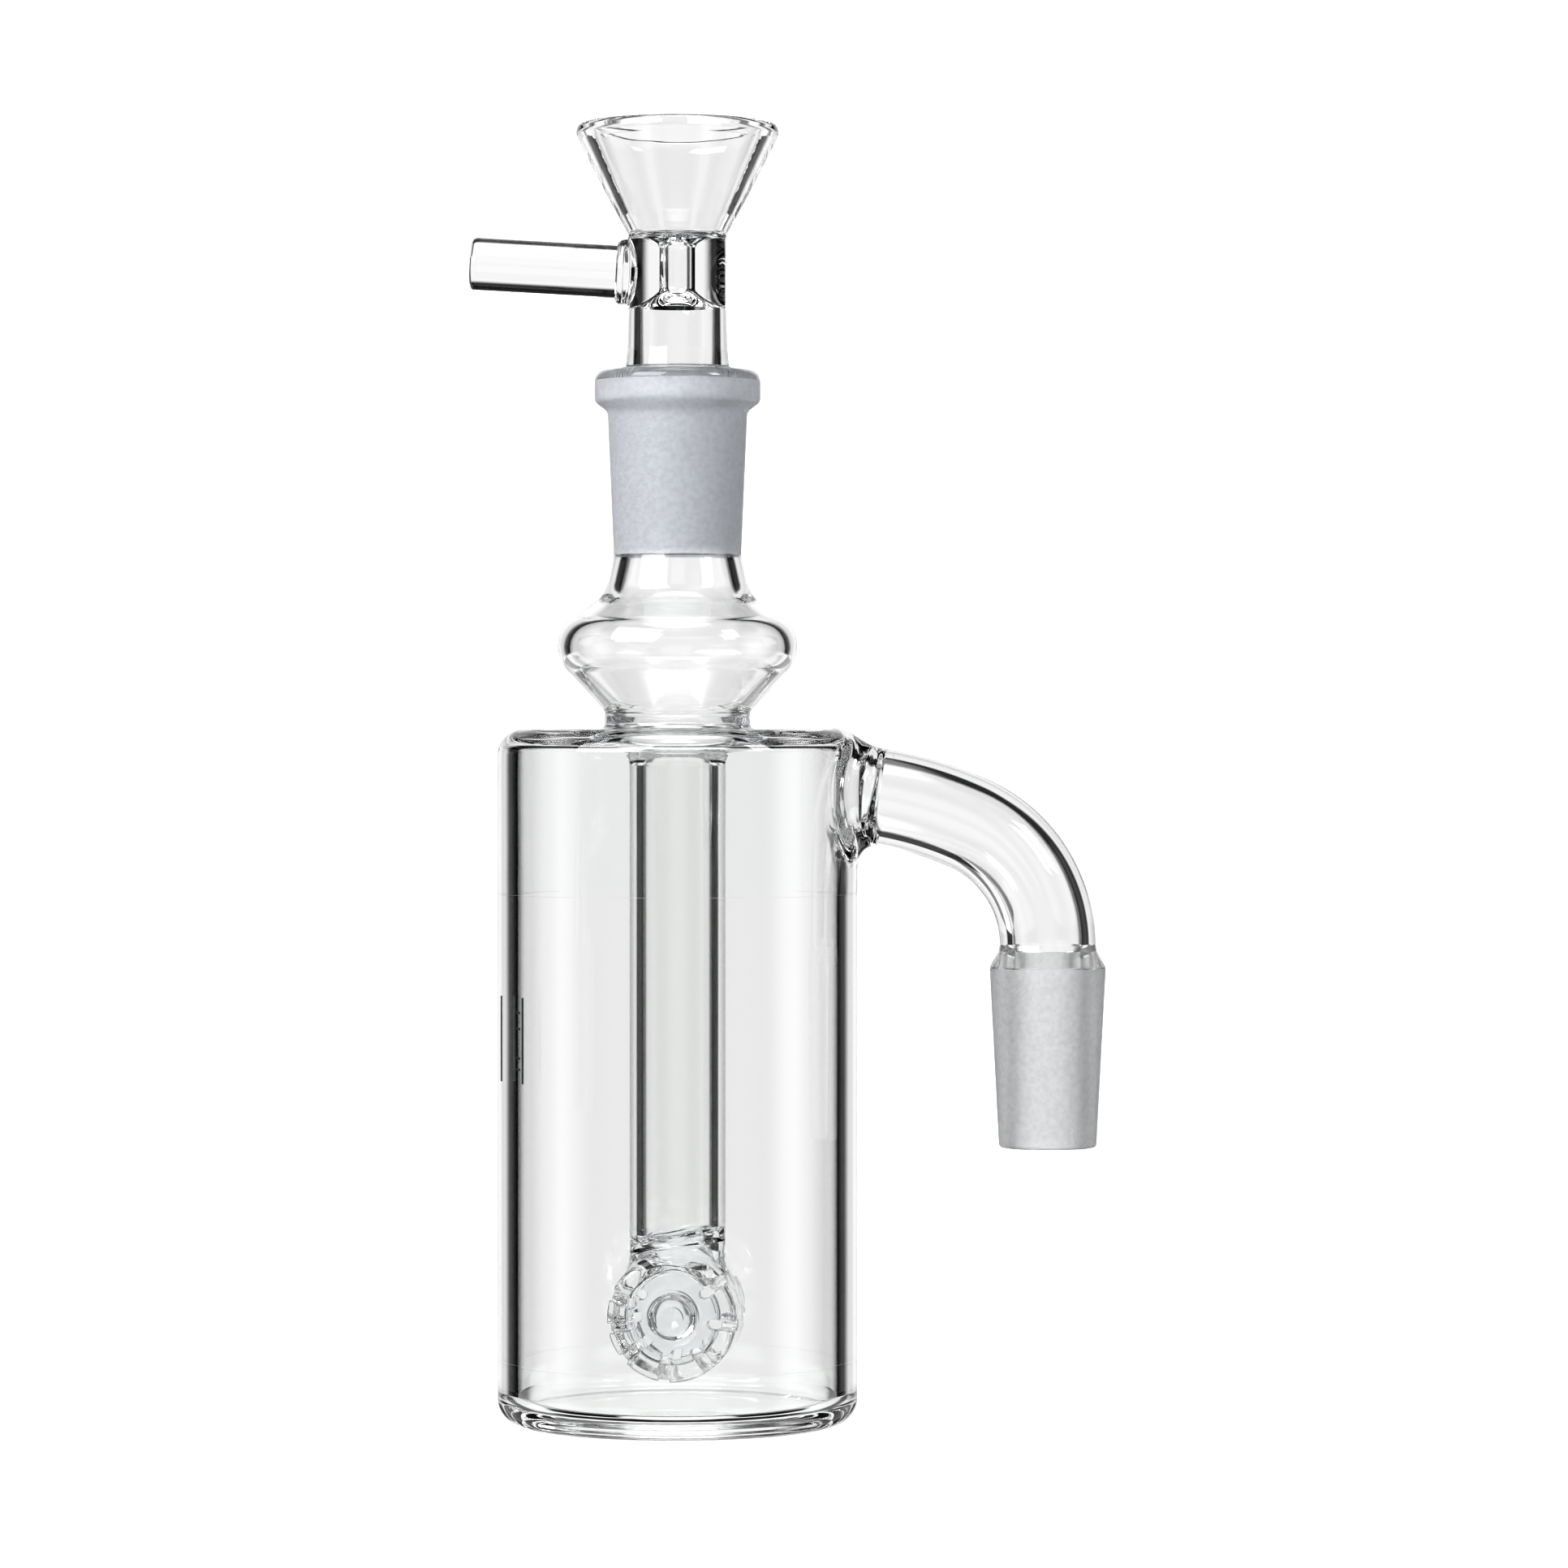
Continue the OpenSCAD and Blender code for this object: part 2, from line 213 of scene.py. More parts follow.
def rounded(*corners, step=5):
    """Segments of an outline through corners (r, z, fillet radius), with an arc at each corner."""
    path = [Vector(c[:2]) for c in corners]
    segments = []
    here = path[0]
    for i in range(1, len(path) - 1):
        back = (path[i - 1] - path[i]).normalized()
        on = (path[i + 1] - path[i]).normalized()
        turn = math.pi - back.angle(on)
        radius = corners[i][2]
        reach = radius * math.tan(turn / 2)
        start = path[i] + back * reach
        segments.append((here, -back, start, -back))
        here = start
        if radius and turn > 0.01:
            centre = path[i] + (back + on).normalized() * radius / math.cos(turn / 2)
            side = 1 if back.cross(on) < 0 else -1
            steps = max(2, math.ceil(math.degrees(turn) / step))
            arm = start - centre
            for k in range(1, steps + 1):
                angle = side * turn * k / steps
                spoke = Vector((arm.x * math.cos(angle) - arm.y * math.sin(angle),
                                arm.x * math.sin(angle) + arm.y * math.cos(angle)))
                before = segments[-1][3]
                tangent = Vector((-spoke.y, spoke.x)).normalized() * side
                segments.append((here, before, centre + spoke, tangent))
                here = centre + spoke
    last = (path[-1] - here).normalized()
    segments.append((here, last, path[-1], last))
    return [s for s in segments if (s[2] - s[0]).length > 1e-6]


def straight(*points):
    """Segments of an outline with sharp corners."""
    path = [Vector(p) for p in points]
    lines = []
    for a, b in zip(path, path[1:]):
        along = (b - a).normalized()
        lines.append((a, along, b, along))
    return lines


def between(segments, low, high):
    """The stretch of an outline that lies between two heights."""
    kept = []
    for p, tp, q, tq in segments:
        rise = q.y - p.y
        if abs(rise) < 1e-9:
            if low <= p.y <= high:
                kept.append((p, tp, q, tq))
            continue
        a, b = (low - p.y) / rise, (high - p.y) / rise
        a, b = max(0, min(a, b)), min(1, max(a, b))
        if b - a > 1e-6:
            kept.append((p.lerp(q, a), tp.lerp(tq, a).normalized(), p.lerp(q, b), tp.lerp(tq, b).normalized()))
    return kept


# ---- mesh makers ----

# A shorter segment of an outline would make empty faces, and is dropped
SHORTEST = 1e-4


def finish_mesh(name, bm, normals, materials):
    """Turns a bmesh and its corner normals, one list per face, into a smooth object."""
    mesh = bpy.data.meshes.new(name)
    bm.to_mesh(mesh)
    bm.free()
    for material in materials:
        mesh.materials.append(material)
    mesh.shade_smooth()
    mesh.normals_split_custom_set([n for face in normals for n in face])
    piece = bpy.data.objects.new(name, mesh)
    bpy.context.collection.objects.link(piece)
    return piece


def lathe(name, runs, materials, place=Matrix(), count=192, sweep=(0, 360)):
    """Solid of revolution about Z, then placed.

    Runs go round anticlockwise: segments, (segments, material index), or None for a seam straight on to the next run.
    """
    runs = [(run, 0) if isinstance(run, list) else run for run in runs]
    chain = []
    for i, run in enumerate(runs):
        if run is None:
            start, end = runs[i - 1][0][-1][2], runs[(i + 1) % len(runs)][0][0][0]
            run = (straight(start, end), len(materials) - 1)
        chain += [(segment, run[1]) for segment in run[0] if (segment[2] - segment[0]).length > SHORTEST]
    closed = sweep[1] - sweep[0] >= 360
    columns = count if closed else count + 1
    angles = [math.radians(sweep[0] + (sweep[1] - sweep[0]) * k / count) for k in range(columns)]
    bm = bmesh.new()
    rings = []
    for (p, _, _, _), _ in chain:
        if abs(p.x) < 1e-6:
            rings.append([bm.verts.new(place @ Vector((0, 0, p.y)) * MM)] * columns)
        else:
            rings.append([bm.verts.new(place @ Vector((p.x * math.cos(a), p.x * math.sin(a), p.y)) * MM)
                          for a in angles])
    normals = []
    turn = place.to_3x3()

    def outward(tangent, angle):
        return turn @ Vector((tangent.y * math.cos(angle), tangent.y * math.sin(angle), -tangent.x))

    for i, ((p, tp, q, tq), slot) in enumerate(chain):
        below, above = rings[i], rings[(i + 1) % len(chain)]
        if below[0] is below[-1] and above[0] is above[-1]:
            continue
        for k in range(count):
            nxt = (k + 1) % columns
            corners = [(below[k], tp, angles[k]), (below[nxt], tp, angles[nxt]),
                       (above[nxt], tq, angles[nxt]), (above[k], tq, angles[k])]
            if below[k] is below[nxt]:
                corners.pop(0)
            if above[k] is above[nxt]:
                corners.pop()
            face = bm.faces.new([c[0] for c in corners])
            face.material_index = slot
            normals.append([outward(t, a) for _, t, a in corners])
    if not closed:
        for k, side in ((0, -1), (count, 1)):
            loop = [ring[k] for ring in rings]
            face = bm.faces.new(loop if side < 0 else loop[::-1])
            face.material_index = len(materials) - 1
            face.normal_update()
            normals.append([face.normal.copy()] * len(loop))
    bm.faces.index_update()
    return finish_mesh(name, bm, normals, materials)


def tube_along(name, centre, radius, slope0, slope1, materials, count=160):
    """Bent tube in the XZ plane, about a centre, between two slopes, with fused ends."""
    steps = max(8, round(math.degrees(slope1 - slope0) / 1.5))
    rings, directions = [], []
    bm = bmesh.new()
    for wall in (TUBE_R, BORE_R):
        for i in range(steps + 1):
            slope = slope0 + (slope1 - slope0) * i / steps
            out = Vector((math.sin(slope), 0, math.cos(slope)))
            hub = Vector((centre[0], 0, centre[1])) + out * radius
            spokes = [out * math.cos(a) + Vector((0, 1, 0)) * math.sin(a)
                      for a in (2 * math.pi * k / count for k in range(count))]
            rings.append([bm.verts.new((hub + s * wall) * MM) for s in spokes])
            directions.append([s if wall == TUBE_R else -s for s in spokes])
    order = list(range(steps + 1)) + list(range(2 * steps + 1, steps, -1))
    normals = []
    for i, here in enumerate(order):
        there = order[(i + 1) % len(order)]
        seam = abs(here - there) != 1
        for k in range(count):
            nxt = (k + 1) % count
            face = bm.faces.new([rings[here][nxt], rings[here][k], rings[there][k], rings[there][nxt]])
            face.material_index = 1 if seam else 0
            face.normal_update()
            flat = face.normal.copy()
            normals.append([flat] * 4 if seam else [directions[here][nxt], directions[here][k],
                                                   directions[there][k], directions[there][nxt]])
    return finish_mesh(name, bm, normals, materials)


# ---- distance fields, for the shapes that a lathe can't turn ----

# Rounding of an edge that stays sharp
SHARP = 0.01


def melt(a, b, k):
    """Union of two distances with a fillet of about k."""
    h = np.maximum(k - np.abs(a - b), 0) / k
    return np.minimum(a, b) - h * h * k / 4


def cut_away(a, b, k):
    """a without b, with its edges rounded by about k."""
    return -melt(-a, b, k)


def round_corner(r, z, radius, top, fillet):
    """Distance to a solid cylinder that ends at a height, with a rounded top edge."""
    qr, qz = r - (radius - fillet), z - (top - fillet)
    return np.hypot(np.maximum(qr, 0), np.maximum(qz, 0)) + np.minimum(np.maximum(qr, qz), 0) - fillet


def arm_distance(x, y, z, radius):
    """Distance to the arm's first, gentle stretch, as a tube without ends."""
    return np.hypot(np.hypot(x - ARC1_X, z - ARC1_Z) - ARC1_R, y) - radius


RIDGE_X, RIDGE_Z, RIDGE_R = 23.8, 78.5, 0.75


def roof_distance(x, y, z):
    """Roof corner and arm, melted together, with a ridge inside the weld."""
    r = np.hypot(x, y)
    shell = round_corner(r, z, CAN_R, CAN_TOP, 3.2)
    hollow = round_corner(r, z, CAN_BORE, CEILING, 0.6)
    arm = np.maximum(arm_distance(x, y, z, TUBE_R), CAN_R - 1 - x)
    solid = melt(shell, arm, 3.5)
    void = melt(hollow, arm_distance(x, y, z, BORE_R), 2.0)
    along = (x - RIDGE_X) * math.cos(ARM_START) - (z - RIDGE_Z) * math.sin(ARM_START)
    ridge = np.hypot(arm_distance(x, y, z, BORE_R + 0.35), along) - RIDGE_R
    return melt(cut_away(solid, void, SHARP), ridge, 0.8)


DRUM_YAW = math.radians(-6)
DRUM_BORE_R, DRUM_BORE_HALF = 6, 5.2
# A dimple in each end plate, a nub inside the front one, and a fold of glass round the foot: radius, then place
DIMPLE_R, DIMPLE_AT = 1.7, 8.3
NUB_R, NUB_HALF, NUB_AT = 2.9, 1.9, 5.3
FOLD_R, FOLD_RING_R, FOLD_Z, FOLD_SLANT = 0.85, 4.4, 23.0, 0.2
# A slot is SLOT_R to either side, and starts SLOT_IN from the drum's axis and SLOT_HALF from its middle
SLOT_R, SLOT_IN, SLOT_HALF = 0.6, 5.2, 4.4
SLOT_ANGLES = (37, -7, -53, -97, -139, -170, 159)


def drum_distance(x, y, z):
    """Drum, its slots and the foot that joins it to the downstem."""
    ahead = x * math.sin(DRUM_YAW) - y * math.cos(DRUM_YAW)
    side = x * math.cos(DRUM_YAW) + y * math.sin(DRUM_YAW)
    up = z - DRUM_Z
    rho = np.hypot(side, up)
    end = np.abs(ahead)
    stem = np.hypot(x, y)
    above = -up
    solid = melt(round_corner(rho, end, DRUM_R, DRUM_HALF, 1.1), np.maximum(stem - TUBE_R, above), 1.8)
    dimple = np.sqrt(rho ** 2 + (end - DIMPLE_AT) ** 2) - DIMPLE_R
    solid = cut_away(solid, dimple, 0.5)
    void = melt(round_corner(rho, end, DRUM_BORE_R, DRUM_BORE_HALF, 0.9), np.maximum(stem - BORE_R, above), 1.4)
    nub = (np.sqrt((rho / NUB_R) ** 2 + ((ahead - NUB_AT) / NUB_HALF) ** 2) - 1) * NUB_HALF
    void = cut_away(void, nub, 0.8)
    fold = np.hypot(stem - FOLD_RING_R, z - FOLD_Z - FOLD_SLANT * x) - FOLD_R
    shape = melt(cut_away(solid, void, SHARP), fold, 0.5)
    for angle in SLOT_ANGLES:
        c, s = math.cos(math.radians(angle)), math.sin(math.radians(angle))
        outward, across = side * c + up * s, up * c - side * s
        short_of = np.maximum(SLOT_IN - outward, 0) ** 2 + np.maximum(SLOT_HALF - end, 0) ** 2
        slot = np.sqrt(short_of + across ** 2) - SLOT_R
        shape = cut_away(shape, slot, 0.3)
    return shape


THROAT_LOW, THROAT_HIGH = throat_low.z, throat_high.z
HANDLE_TILT = math.radians(3.2)
HANDLE_Z = socket_high.z + 11.9
HANDLE_R = 3.35
HANDLE_START = 7.6
NECK_R = 6.1
# The hole's radius at its narrowest, and how fast it flares below and above
HOLE_R, LOWER_FLARE, UPPER_FLARE = 1.6, 0.451, 0.7


def along_handle(x, y, z):
    """Distance out along the handle's axis, and distance from that axis."""
    out = -x * math.cos(HANDLE_TILT) + (z - HANDLE_Z) * math.sin(HANDLE_TILT)
    off = x * math.sin(HANDLE_TILT) + (z - HANDLE_Z) * math.cos(HANDLE_TILT)
    return out, np.hypot(off, y)


def throat_distance(x, y, z):
    """Thick throat with its hourglass hole, and the handle's weld."""
    rho = np.hypot(x, y)
    out, off = along_handle(x, y, z)
    body = rho - NECK_R
    rod = np.maximum(off - HANDLE_R, 3 - out)
    bead = np.hypot(out - 6.9, off - 3.25) - 0.8
    solid = melt(melt(body, rod, 1.6), bead, 0.5)
    lower = np.maximum(THROAT_LOW + 2.6 - z, 0)
    upper = np.maximum(z - THROAT_HIGH + 1.2, 0)
    hole = HOLE_R + LOWER_FLARE * lower ** 2 + UPPER_FLARE * upper ** 2
    slope = np.hypot(1, 2 * LOWER_FLARE * lower + 2 * UPPER_FLARE * upper)
    return cut_away(solid, (rho - hole) / slope, SHARP)


def gradient(distance, points, h=1e-3):
    """Slope of a distance at each point."""
    slope = np.zeros_like(points)
    for axis in range(3):
        ahead, behind = points.copy(), points.copy()
        ahead[:, axis] += h
        behind[:, axis] -= h
        slope[:, axis] = (distance(*ahead.T) - distance(*behind.T)) / (2 * h)
    return slope


def skin(distance, low, high, voxel):
    """Points and quads of the surface where a distance is zero, inside a box. Three steps settle the points on it."""
    counts = [round((b - a) / voxel) + 1 for a, b in zip(low, high)]
    axes = [np.linspace(a, b, n) for a, b, n in zip(low, high, counts)]
    steps = np.array([axis[1] - axis[0] for axis in axes])
    field = distance(*np.meshgrid(*axes, indexing="ij"))
    grid = openvdb.FloatGrid(4 * voxel)
    grid.copyFromArray(np.clip(field, -4 * voxel, 4 * voxel).astype(np.float32))
    points, quads = grid.convertToQuads(isovalue=0.0)
    points = points * steps + np.array(low)
    for _ in range(3):
        slope = gradient(distance, points)
        step = distance(*points.T) / np.maximum((slope ** 2).sum(1), 0.05)
        points -= slope * np.clip(step, -voxel, voxel)[:, None]
    return points, quads


def polar_warp(bm, way):
    """Takes a mesh to polar space, where a cylinder about Z is flat, or back again."""
    for v in bm.verts:
        x, y, z = v.co
        if way > 0:
            v.co = (math.hypot(x, y), math.atan2(y, x) * POLAR, z)
        else:
            v.co = (x * math.cos(y / POLAR), x * math.sin(y / POLAR), z)


def carve(name, surface, distance, cuts, materials):
    """Closed piece of a skin.

    Each cut is (point, normal, polar): what lies beyond it is removed, and a seam closes the opening.
    """
    points, quads = surface
    bm = bmesh.new()
    verts = [bm.verts.new(point) for point in points]
    for quad in quads.tolist():
        bm.faces.new([verts[i] for i in quad])
    for point, normal, polar in cuts:
        if polar:
            polar_warp(bm, 1)
        parts = bmesh.ops.bisect_plane(bm, geom=bm.verts[:] + bm.edges[:] + bm.faces[:], dist=1e-5, plane_co=point,
                                       plane_no=normal, clear_outer=True)
        rim = [e for e in parts["geom_cut"] if isinstance(e, bmesh.types.BMEdge)]
        filled = bmesh.ops.triangle_fill(bm, edges=rim, use_beauty=True, normal=normal)
        for item in filled["geom"]:
            if isinstance(item, bmesh.types.BMFace):
                item.material_index = len(materials) - 1
        if polar:
            polar_warp(bm, -1)
    bmesh.ops.delete(bm, geom=[v for v in bm.verts if not v.link_faces], context="VERTS")
    bmesh.ops.recalc_face_normals(bm, faces=bm.faces)
    bm.verts.index_update()
    slope = gradient(distance, np.array([v.co for v in bm.verts]))
    slope /= np.linalg.norm(slope, axis=1)[:, None]
    normals = []
    for face in bm.faces:
        face.normal_update()
        if face.material_index == len(materials) - 1:
            normals.append([face.normal.copy()] * len(face.verts))
        else:
            normals.append([Vector(slope[v.index]) for v in face.verts])
    bmesh.ops.scale(bm, vec=(MM, MM, MM), verts=bm.verts)
    return finish_mesh(name, bm, normals, materials)


def add(piece, body, slot, *nodes):
    """A piece rides on its body and stands for its CAD nodes. The slot argument is not used."""
    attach(piece, body)
    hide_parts(*nodes)
    return piece


# ---- the can and its roof ----

SEAL_R = 8.4
NECK_FOOT_R = 10.0
CAN_OUT = rounded((0, 0), (CAN_R, 0, 3.1), (CAN_R, CAN_TOP, 3.2), (ROOF_CUT_R, CAN_TOP))
CAN_IN = rounded((ROOF_CUT_R, CEILING), (CAN_BORE, CEILING, 0.6), (CAN_BORE, FLOOR, 1.8), (0, FLOOR))

add(lathe("can_wall_glass", [between(CAN_OUT, can_low.z, can_high.z), None,
                             between(CAN_IN, can_low.z, can_high.z), None],
          [CLEAR, SEAM], count=256), "catcher", "clear_glass", "can_wall")

add(lathe("can_base_glass", [between(CAN_OUT, 0, can_low.z - GAP), None, between(CAN_IN, FLOOR, can_low.z - GAP),
                             straight((0, FLOOR), (0, 0))],
          [THICK, SEAM], count=256), "catcher", "clear_glass", "can_base")

add(lathe("roof_ring_glass", [straight((SEAL_R + GAP, CEILING), (ROOF_CUT_R - GAP, CEILING)), None,
                              straight((ROOF_CUT_R - GAP, CAN_TOP), (NECK_FOOT_R, CAN_TOP)),
                              (straight((NECK_FOOT_R, CAN_TOP), (SEAL_R + GAP, CAN_TOP)), 1), None],
          [ROOF_RING, SEAM], count=256), "catcher", "clear_glass", "can_roof")

add(lathe("roof_shell_glass", [between(CAN_OUT, roof_low.z + GAP, CAN_TOP), None,
                               between(CAN_IN, roof_low.z + GAP, CEILING), None],
          [ROOF, SEAM], count=256, sweep=(ROOF_CUT_ANGLE, 360 - ROOF_CUT_ANGLE)), "catcher", "clear_glass", "can_roof")

# ---- neck and socket: one outline outside and one inside, shared by the three sections ----

SOCKET_LOW, MOUTH_Z = socket_low.z, socket_high.z
BULB_LOW = neck_weld_high.z
FLARE_R = 7.55
NECK_OUT = rounded((NECK_FOOT_R, CAN_TOP + GAP), (9.1, CAN_TOP + GAP, 0.85), (9.1, BULB_LOW - 0.7, 0.9),
                   (14.95, BULB_LOW + 5.4, 5), (14.95, BULB_LOW + 9.79, 4.4), (9.05, SOCKET_LOW - 4.95, 3.5),
                   (7.95, SOCKET_LOW, 5), (8.72, MOUTH_Z - 5.1, 1.2), (10.35, MOUTH_Z - 3.9, 0.9),
                   (10.35, MOUTH_Z, 1.3), (8.4, MOUTH_Z))
NECK_IN = rounded((8.4, MOUTH_Z), (7.5, MOUTH_Z, 0.4), (7.23, MOUTH_Z - 0.5, 0.3), (6.1, SOCKET_LOW, 1),
                  (7.35, SOCKET_LOW - 5.55, 4), (13.5, BULB_LOW + 9.03, 3.2), (13.5, BULB_LOW + 5.99, 3.2),
                  (7.5, BULB_LOW - 0.1, 1.3), (6.9, BULB_LOW - 1.2, 0.6), (FLARE_R, BULB_LOW - 2.3, 0.6),
                  (FLARE_R, CAN_TOP + GAP))
SEAL_LOW = seal_low.z
SEAL_OUT = rounded((TUBE_R, SEAL_LOW + GAP), (TUBE_R, CEILING, 2.1), (SEAL_R, CEILING))
SEAL_IN = rounded((FLARE_R, CAN_TOP), (FLARE_R, CAN_TOP - 1.6, 1.2), (BORE_R, CAN_TOP - 3.6, 1.8),
                  (BORE_R, SEAL_LOW + GAP))

add(lathe("neck_weld_glass", [between(NECK_OUT, CAN_TOP, BULB_LOW - GAP), None,
                              between(NECK_IN, CAN_TOP, BULB_LOW - GAP), None],
          [SWIRL, SEAM]), "catcher", "weld_glass", "neck_weld")

add(lathe("neck_bulb_glass", [between(NECK_OUT, BULB_LOW, SOCKET_LOW), None,
                              between(NECK_IN, BULB_LOW, SOCKET_LOW), None],
          [CLEAR, SEAM]), "catcher", "clear_glass", "neck_bulb")

# The mouth's rounded edge is left polished, outside down to one level and inside down to another
POLISHED_OUT, POLISHED_IN = MOUTH_Z - 1.3, MOUTH_Z - 0.6
add(lathe("socket_glass", [(between(NECK_OUT, SOCKET_LOW, POLISHED_OUT), 0),
                           (between(NECK_OUT, POLISHED_OUT, MOUTH_Z), 1),
                           (between(NECK_IN, POLISHED_IN, MOUTH_Z), 1),
                           (between(NECK_IN, SOCKET_LOW, POLISHED_IN), 0), None],
          [GROUND, CLEAR, SEAM]), "catcher", "ground_glass", "socket")

# ---- seal and downstem ----

add(lathe("downstem_seal_glass", [SEAL_OUT, None, (straight((SEAL_R, CAN_TOP - GAP), (FLARE_R, CAN_TOP - GAP)), 1),
                                  between(SEAL_IN, SEAL_LOW, CAN_TOP - GAP), None],
          [SWIRL, SEAM]), "catcher", "weld_glass", "downstem_seal")

add(lathe("downstem_glass", [straight((TUBE_R, stem_low.z), (TUBE_R, SEAL_LOW)), None,
                             straight((BORE_R, SEAL_LOW), (BORE_R, stem_low.z)), None],
          [CLEAR, SEAM], count=160), "catcher", "clear_glass", "downstem")

# ---- drum and its foot, one skin cut into four ----

FOOT_CUT = DRUM_Z + 6.8
PLATE_CUT = 5.7
AHEAD = Vector((math.sin(DRUM_YAW), -math.cos(DRUM_YAW), 0))
drum_skin = skin(drum_distance, (-9.2, -9.2, DRUM_Z - 9), (9.2, 9.2, stem_low.z + 0.6), 0.16)
above_drum = ((0, 0, FOOT_CUT), (0, 0, 1), False)
for name, cuts in (
        ("drum_front_plate", [(AHEAD * PLATE_CUT, -AHEAD, False), above_drum]),
        ("drum_back_plate", [(AHEAD * -PLATE_CUT, AHEAD, False), above_drum]),
        ("drum_barrel", [(AHEAD * PLATE_CUT, AHEAD, False), (AHEAD * -PLATE_CUT, -AHEAD, False), above_drum]),
        ("downstem_foot", [((0, 0, FOOT_CUT), (0, 0, -1), False), ((0, 0, stem_low.z), (0, 0, 1), False)])):
    add(carve(name + "_glass", drum_skin, drum_distance, cuts, [DRUM, SEAM]), "catcher", "drum_glass", name)

# ---- side arm ----

ARM_DIR = Vector((math.cos(ARM_START), 0, -math.sin(ARM_START)))
ARM_POINT = Vector((ARC1_X + ARC1_R * math.sin(ARM_START), 0, ARC1_Z + ARC1_R * math.cos(ARM_START)))
half = math.radians(ROOF_CUT_ANGLE)
roof_skin = skin(roof_distance, (ROOF_CUT_R * math.cos(half) - 1.5, -14, roof_low.z - 1), (28, 14, CAN_TOP + 1), 0.17)
add(carve("arm_weld_glass", roof_skin, roof_distance, [
    ((0, 0, roof_low.z + GAP), (0, 0, -1), False),
    (ARM_POINT - ARM_DIR * GAP, ARM_DIR, False),
    ((0, -GAP, 0), (-math.sin(half), math.cos(half), 0), False),
    ((0, GAP, 0), (-math.sin(half), -math.cos(half), 0), False),
    ((ROOF_CUT_R + GAP, 0, 0), (-1, 0, 0), True)],
    [WELD, SEAM]), "catcher", "weld_glass", "arm_weld", "can_roof")

add(tube_along("arm_sweep_glass", (ARC1_X, ARC1_Z), ARC1_R, ARM_START, ARM_BREAK, [CLEAR, SEAM]),
    "catcher", "clear_glass", "arm_sweep")
add(tube_along("arm_bend_glass", (ARC2_X, ARC2_Z), ARC2_R, ARM_BREAK, math.pi / 2, [CLEAR, SEAM]),
    "catcher", "clear_glass", "arm_bend")

# Both ground cones narrow by about 1 in 10. Only the outside and the tip are ground: the bore is clear.
SHOULDER_Z, OUTLET_Z = outlet_high.z, outlet_low.z
AT_ARM = Matrix.Translation((ARM_X, 0, 0))
CONE_R = 7.25
CONE_TIP_R = CONE_R - 1.17
SHOULDER_OUT = rounded((CONE_R, SHOULDER_Z), (CONE_R, SHOULDER_Z + 0.2, 0.1), (6.15, SHOULDER_Z + 2.2, 0.8),
                       (TUBE_R, ARC2_Z))
add(lathe("arm_shoulder_glass", [SHOULDER_OUT, None, straight((BORE_R, ARC2_Z), (BORE_R, SHOULDER_Z)), None],
          [CLEAR, SEAM], AT_ARM, 160), "catcher", "clear_glass", "arm_shoulder")
add(lathe("outlet_taper_glass", [
    (rounded((BORE_R, OUTLET_Z), (BORE_R + 0.2, OUTLET_Z, 0.05), (CONE_TIP_R, OUTLET_Z, 0.5),
             (CONE_R, SHOULDER_Z)), 1),
    None, straight((BORE_R, SHOULDER_Z), (BORE_R, OUTLET_Z))],
    [CLEAR, GROUND_CONE, SEAM], AT_ARM, 160), "catcher", "ground_glass", "outlet_taper")

# ---- bowl ----

BOWL_BORE = 4.65
TAPER_LOW, TAPER_HIGH = taper_low.z, taper_high.z
TAPER_R = 7.2
RIM_R, RIM_Z = funnel_high.x, funnel_high.z
add(lathe("bowl_taper_glass", [
    (rounded((BOWL_BORE, TAPER_LOW), (BOWL_BORE + 0.2, TAPER_LOW, 0.05), (TAPER_R - 1.14, TAPER_LOW, 0.4),
             (TAPER_R, TAPER_HIGH)), 1),
    None, straight((BOWL_BORE, TAPER_HIGH), (BOWL_BORE, TAPER_LOW))],
    [CLEAR, GROUND_CONE, SEAM], count=160), "bowl_cone", "ground_glass", "bowl_taper")
add(lathe("bowl_neck_glass", [
    rounded((TAPER_R, TAPER_HIGH + GAP), (TAPER_R - 0.02, TAPER_HIGH + 0.1, 0.05), (6.5, TAPER_HIGH + 0.15, 0.2),
            (6.25, TAPER_HIGH + 2.5, 4), (NECK_R, THROAT_LOW)),
    None, straight((BOWL_BORE, THROAT_LOW), (BOWL_BORE, TAPER_HIGH + GAP)), None],
    [CLEAR, SEAM], count=160), "bowl", "clear_glass", "bowl_neck")

throat_skin = skin(throat_distance, (-10, -7, THROAT_LOW - 0.6), (7, 7, THROAT_HIGH + 0.6), 0.11)
HANDLE_DIR = Vector((-math.cos(HANDLE_TILT), 0, math.sin(HANDLE_TILT)))
HANDLE_HUB = Vector((0, 0, HANDLE_Z))
HANDLE_CUT = 6.37
level_cuts = [((0, 0, THROAT_LOW), (0, 0, -1), False), ((0, 0, THROAT_HIGH), (0, 0, 1), False)]
add(carve("bowl_throat_glass", throat_skin, throat_distance,
          level_cuts + [(HANDLE_HUB + HANDLE_DIR * HANDLE_CUT, HANDLE_DIR, False)], [CLEAR, SEAM]),
    "bowl", "weld_glass", "bowl_throat")
add(carve("handle_weld_glass", throat_skin, throat_distance,
          [(HANDLE_HUB + HANDLE_DIR * HANDLE_CUT, -HANDLE_DIR, False),
           (HANDLE_HUB + HANDLE_DIR * HANDLE_START, HANDLE_DIR, False)], [CLEAR, SEAM]),
    "bowl", "weld_glass", "handle_weld")

